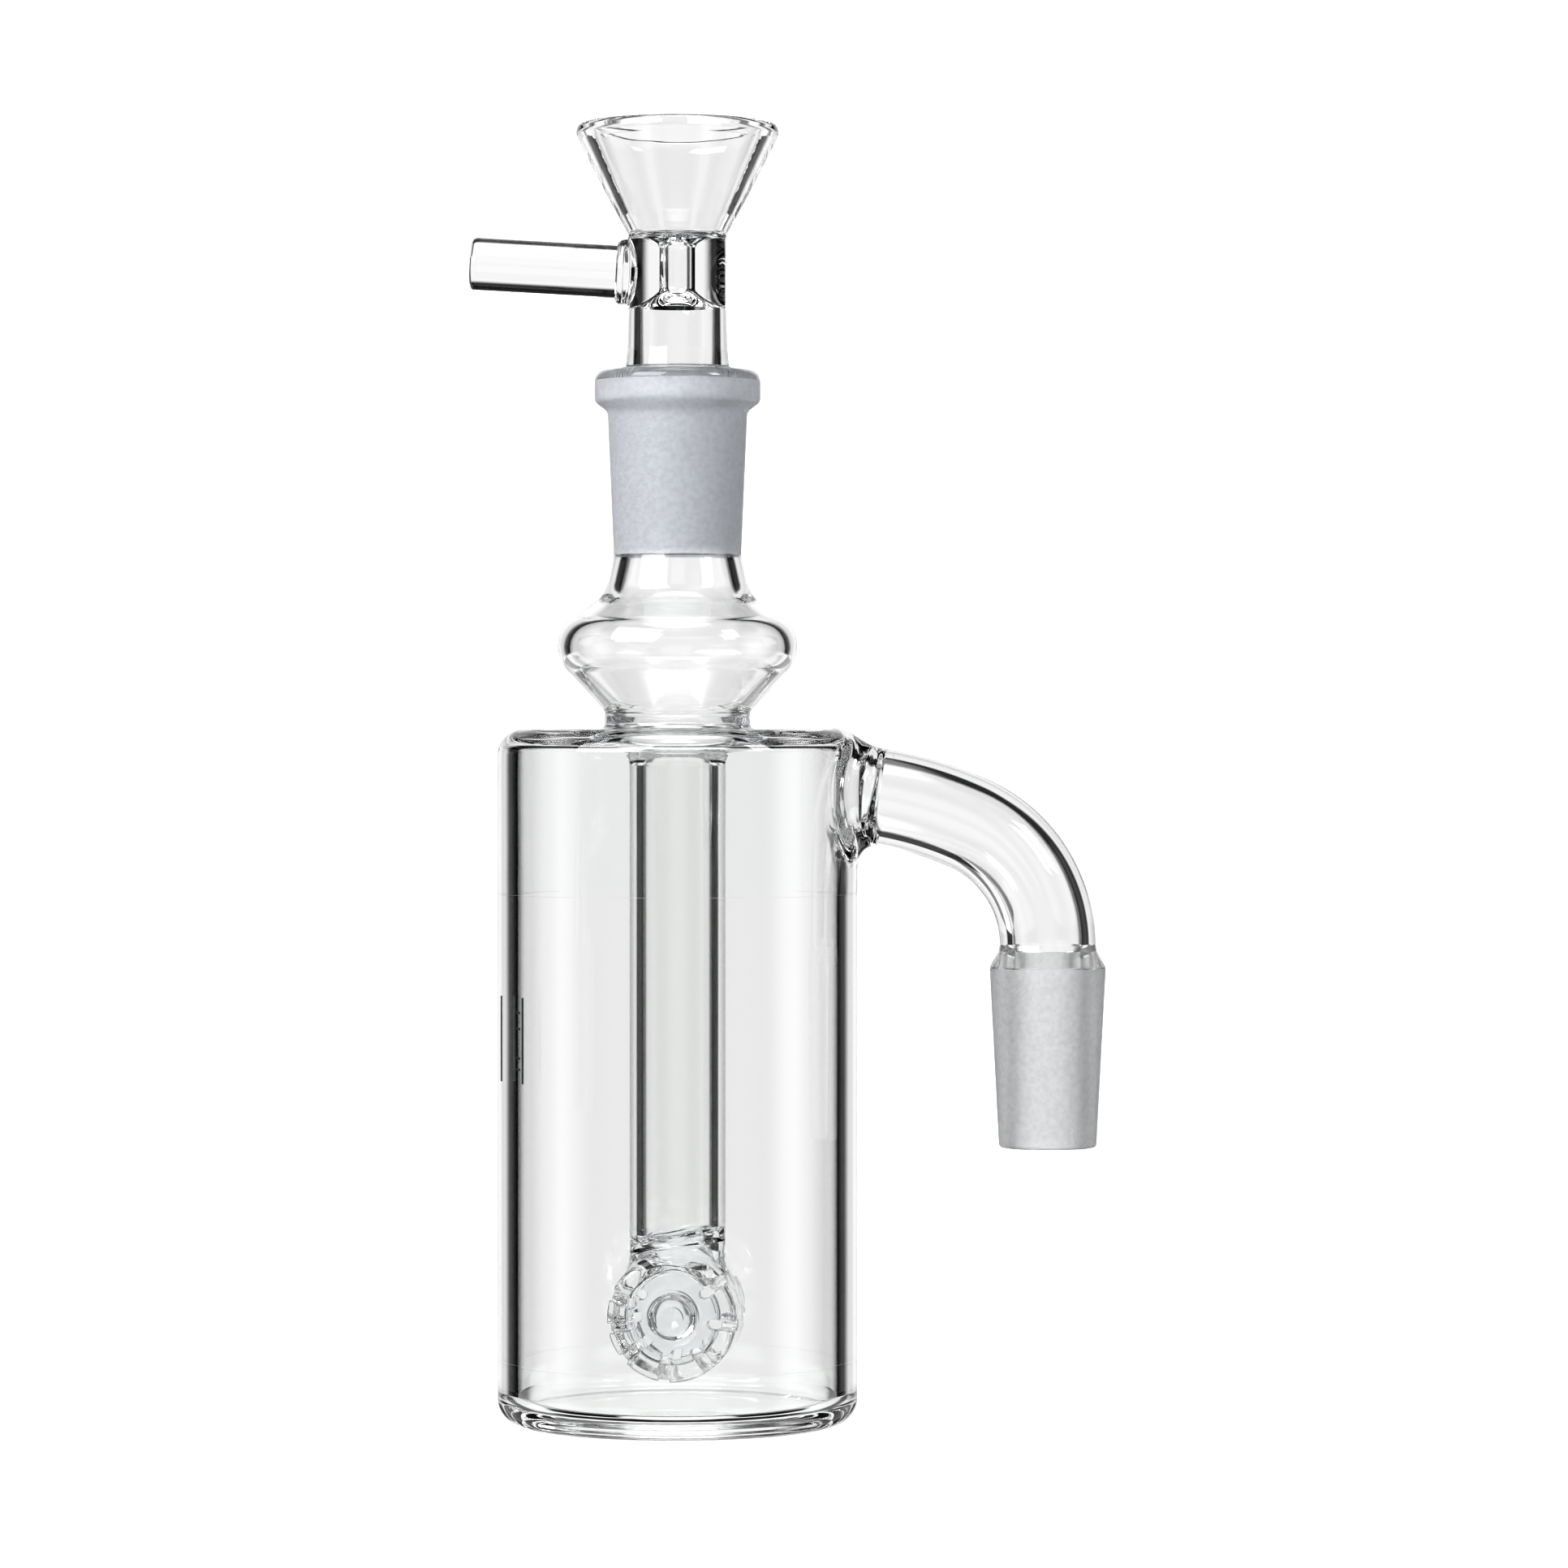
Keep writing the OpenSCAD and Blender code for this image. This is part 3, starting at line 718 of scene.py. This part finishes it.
FUNNEL_OUT = rounded((NECK_R, THROAT_HIGH), (NECK_R + 0.1, THROAT_HIGH + 0.8, 1.5), (8.75, THROAT_HIGH + 5.4, 8),
                     (RIM_R - 0.35, RIM_Z - 2.1, 1.2), (RIM_R, RIM_Z - 1.2, 0.7), (RIM_R - 0.3, RIM_Z, 0.8),
                     (RIM_R - 1.7, RIM_Z, 0.9), (RIM_R - 2.5, RIM_Z - 1.8, 2.0), (6.2, THROAT_HIGH + 3.4, 6),
                     (4.7, THROAT_HIGH + 0.35, 1.2), (3.1, THROAT_HIGH + 0.2, 0.4), (2.61, THROAT_HIGH))
add(lathe("bowl_funnel_glass", [FUNNEL_OUT, None], [TOOLED, SEAM], count=192), "bowl", "clear_glass", "bowl_funnel")

# The tilted rod's end stays inside the CAD rod's box
HANDLE_END = -handle_low.x / math.cos(HANDLE_TILT) - 0.2
ON_HANDLE = Matrix.Translation(HANDLE_HUB) @ Matrix.Rotation(HANDLE_TILT - math.pi / 2, 4, "Y")
add(lathe("bowl_handle_glass", [rounded((HANDLE_R, HANDLE_START), (HANDLE_R, HANDLE_END, 0.8), (0, HANDLE_END)), None],
          [CLEAR, SEAM], ON_HANDLE, 128), "bowl", "clear_glass", "bowl_handle")

# ---- print: an edge line, a bar and four ticks, on the can's side away from the arm ----

INK_LOW, INK_HIGH = CAN_R + 0.01, CAN_R + 0.07


def print_strip(name, angle0, angle1, z0, z1):
    """Thin curved strip of ink on the can, between two angles from the side away from the arm."""
    outline = straight((INK_LOW, z0), (INK_HIGH, z0), (INK_HIGH, z1), (INK_LOW, z1), (INK_LOW, z0))
    steps = max(2, round((angle1 - angle0) * 2))
    piece = lathe(name, [outline], [INK], count=steps, sweep=(180 + angle0, 180 + angle1))
    return add(piece, "catcher", "print", "print_patch")


PRINT_LOW, PRINT_TOP = print_low.z, print_high.z
TICK_H = 0.3
for name, angle, half_width in (("edge", 33.4, 0.5), ("bar", 15.5, 0.9)):
    print_strip("print_" + name, angle - half_width, angle + half_width, PRINT_LOW, PRINT_TOP)
for i, z in enumerate((1.6, 3.0, 6.6, 8.6)):
    print_strip(f"print_tick_{i}", 29.5, 31.9, PRINT_LOW + z, PRINT_LOW + z + TICK_H)

# ---- floor, light and camera ----

# Strengths in the light tent. REAR is the panel on the camera's side, as reflections see it.
PANEL, REAR, LOW_GAP, DARK, TABLE, TOP = 0.7, 0.25, 0.15, 0.005, 0.73, 3.5
# Half widths in degrees of the panels straight ahead and behind, and of the side and rear panels
WIDE, NARROW, SLIM = 28, 16, 15
# Elevations in degrees where one band of the tent gives way to the next
DEEP_TOP, SKIRT_TOP, PANEL_LOW, PANEL_TOP, TOP_LOW = -68, -36, -7.7, 33, 72


def stage_world():
    """Light tent of bright panels with dark gaps between them, seen only through or in the glass.

    Azimuth 0 is straight ahead of the camera, past the object. Light that only passes through the glass from behind
    the camera meets slim bright panels, and light that has been reflected meets the dimmer REAR.
    """
    world = bpy.data.worlds.new("light_tent")
    bpy.context.scene.world = world
    world.use_nodes = True
    tree = world.node_tree
    tree.nodes.clear()

    def math_node(operation, *values):
        node = tree.nodes.new("ShaderNodeMath")
        node.operation = operation
        for socket, value in zip(node.inputs, values):
            if isinstance(value, (int, float)):
                socket.default_value = value
            else:
                tree.links.new(value, socket)
        return node.outputs[0]

    def step(value, edge, soft):
        """0 below an edge and 1 above it, smooth over soft on each side."""
        node = tree.nodes.new("ShaderNodeMapRange")
        node.interpolation_type = "SMOOTHSTEP"
        tree.links.new(value, node.inputs["Value"])
        node.inputs["From Min"].default_value = edge - soft
        node.inputs["From Max"].default_value = edge + soft
        return node.outputs[0]

    def blend(low, high, amount):
        """low where amount is 0, high where it is 1."""
        return math_node("ADD", low, math_node("MULTIPLY", amount, math_node("SUBTRACT", high, low)))

    direction = tree.nodes.new("ShaderNodeTexCoord").outputs["Generated"]
    split = tree.nodes.new("ShaderNodeSeparateXYZ")
    tree.links.new(direction, split.inputs[0])
    x, y, z = split.outputs
    path = tree.nodes.new("ShaderNodeLightPath")
    azimuth = math_node("DEGREES", math_node("ARCTAN2", x, y))
    elevation = math_node("DEGREES", math_node("ARCSINE", z))
    turned = math_node("ABSOLUTE", azimuth)
    off_quarter = math_node("PINGPONG", azimuth, 45.0)
    off_eighth = math_node("PINGPONG", azimuth, 22.5)

    width = blend(WIDE, NARROW, step(math_node("PINGPONG", azimuth, 90.0), 45, 0.5))
    facing = blend(PANEL, REAR, step(turned, 135, 1.0))
    panels = blend(facing, DARK, step(math_node("SUBTRACT", off_quarter, width), 0, 6.0))
    skirt = blend(TABLE, LOW_GAP, step(off_eighth, SLIM, 3.0))
    deep = blend(DARK, TABLE, step(off_quarter, 38, 1.5))
    light = blend(TABLE, deep, step(elevation, DEEP_TOP, 2.0))
    light = blend(light, skirt, step(elevation, SKIRT_TOP, 3.0))
    light = blend(light, panels, step(elevation, PANEL_LOW, 0.4))
    light = blend(light, DARK, step(elevation, PANEL_TOP, 4.0))

    slim_panels = blend(PANEL, DARK, step(off_eighth, SLIM, 3.0))
    rearward = math_node("MULTIPLY", step(turned, 106, 4.0), step(elevation, SKIRT_TOP, 3.0))
    rearward = math_node("MULTIPLY", rearward, math_node("SUBTRACT", 1.0, step(elevation, PANEL_TOP, 4.0)))
    unreflected = math_node("SUBTRACT", 1.0, step(path.outputs["Glossy Depth"], 0.5, 0.1))
    light = blend(light, slim_panels, math_node("MULTIPLY", rearward, unreflected))
    light = blend(light, TOP, step(elevation, TOP_LOW, 4.0))
    light = blend(light, 1.0, path.outputs["Is Camera Ray"])

    background = tree.nodes.new("ShaderNodeBackground")
    background.inputs["Color"].default_value = (1, 1, 1, 1)
    output = tree.nodes.new("ShaderNodeOutputWorld")
    tree.links.new(light, background.inputs["Strength"])
    tree.links.new(background.outputs[0], output.inputs["Surface"])


# Just under the foot, so that the two don't meet, and how far from the middle the floor starts and ends fading
FLOOR_DROP = 0.0004
FLOOR_RINGS = (0.02, 0.1, 0.2, 0.35)
FLOOR_CORNERS = 96
FADE_START, FADE_END = 0.12, 0.34


def stage_floor():
    """Pale round floor that fades out before its edge, and lights nothing."""
    bm = bmesh.new()
    angles = [2 * math.pi * k / FLOOR_CORNERS for k in range(FLOOR_CORNERS)]
    rings = [[bm.verts.new((r * math.cos(a), r * math.sin(a), -FLOOR_DROP)) for a in angles] for r in FLOOR_RINGS]
    bm.faces.new(rings[0])
    for inner, outer in zip(rings, rings[1:]):
        for k in range(FLOOR_CORNERS):
            nxt = (k + 1) % FLOOR_CORNERS
            bm.faces.new([inner[k], outer[k], outer[nxt], inner[nxt]])
    mesh = bpy.data.meshes.new("floor")
    bm.to_mesh(mesh)
    bm.free()
    floor = bpy.data.objects.new("floor", mesh)
    bpy.context.collection.objects.link(floor)
    material, tree, surface, output = shader("pale_floor")
    for socket, value in (("Base Color", (0.5, 0.5, 0.5, 1)), ("Roughness", 1.0), ("Specular IOR Level", 0.0),
                          ("Emission Color", (1, 1, 1, 1)), ("Emission Strength", 0.8)):
        surface.inputs[socket].default_value = value
    place = tree.nodes.new("ShaderNodeTexCoord")
    length = tree.nodes.new("ShaderNodeVectorMath")
    length.operation = "LENGTH"
    fade = tree.nodes.new("ShaderNodeMapRange")
    fade.interpolation_type = "SMOOTHSTEP"
    for socket, value in (("From Min", FADE_START), ("From Max", FADE_END), ("To Min", 1.0), ("To Max", 0.0)):
        fade.inputs[socket].default_value = value
    seen = tree.nodes.new("ShaderNodeLightPath").outputs["Is Camera Ray"]
    shown = tree.nodes.new("ShaderNodeMath")
    shown.operation = "MULTIPLY"
    clear = tree.nodes.new("ShaderNodeBsdfTransparent")
    mix = tree.nodes.new("ShaderNodeMixShader")
    for start, end in ((place.outputs["Object"], length.inputs[0]), (length.outputs["Value"], fade.inputs["Value"]),
                       (fade.outputs[0], shown.inputs[0]), (seen, shown.inputs[1]),
                       (shown.outputs[0], mix.inputs["Fac"]), (clear.outputs[0], mix.inputs[1]),
                       (surface.outputs[0], mix.inputs[2]), (mix.outputs[0], output.inputs["Surface"])):
        tree.links.new(start, end)
    mesh.materials.append(material)


def lamp(name, position, target, size, power):
    """Rectangular studio lamp that the camera doesn't see directly."""
    light = bpy.data.lights.new(name, "AREA")
    light.shape = "RECTANGLE"
    light.size, light.size_y = size
    light.energy = power
    holder = bpy.data.objects.new(name, light)
    holder.location = position
    holder.rotation_euler = (Vector(target) - Vector(position)).to_track_quat("-Z", "Y").to_euler()
    holder.visible_camera = False
    bpy.context.collection.objects.link(holder)


stage_world()
stage_floor()

# In metres from here on
CENTRE = Vector((0.0133, 0, 0.0798))
lamp("lamp_left", (-0.75, -0.75, 0.75), CENTRE, (1.0, 0.8), 18)
lamp("lamp_right", (1.0, -0.6, 0.8), CENTRE, (0.3, 0.5), 5)

CAMERA_TILT = math.radians(0.4)
CAMERA_DISTANCE = 0.722
FRAME_WIDTH = 0.1959
SENSOR = 36
camera = bpy.data.objects.new("camera", bpy.data.cameras.new("camera"))
bpy.context.collection.objects.link(camera)
camera.location = CENTRE + Vector((0, -math.cos(CAMERA_TILT), math.sin(CAMERA_TILT))) * CAMERA_DISTANCE
camera.rotation_euler = (math.pi / 2 - CAMERA_TILT, 0, 0)
camera.data.lens = SENSOR * CAMERA_DISTANCE / FRAME_WIDTH
camera.data.sensor_width = SENSOR
camera.data.clip_start = 0.1
camera.data.clip_end = 50
scene = bpy.context.scene
scene.camera = camera
scene.view_settings.view_transform = "Standard"
scene.view_settings.look = "High Contrast"
scene.cycles.max_bounces = 48
scene.cycles.transmission_bounces = 48
scene.cycles.glossy_bounces = 24
scene.cycles.transparent_max_bounces = 64
scene.cycles.sample_clamp_indirect = 4
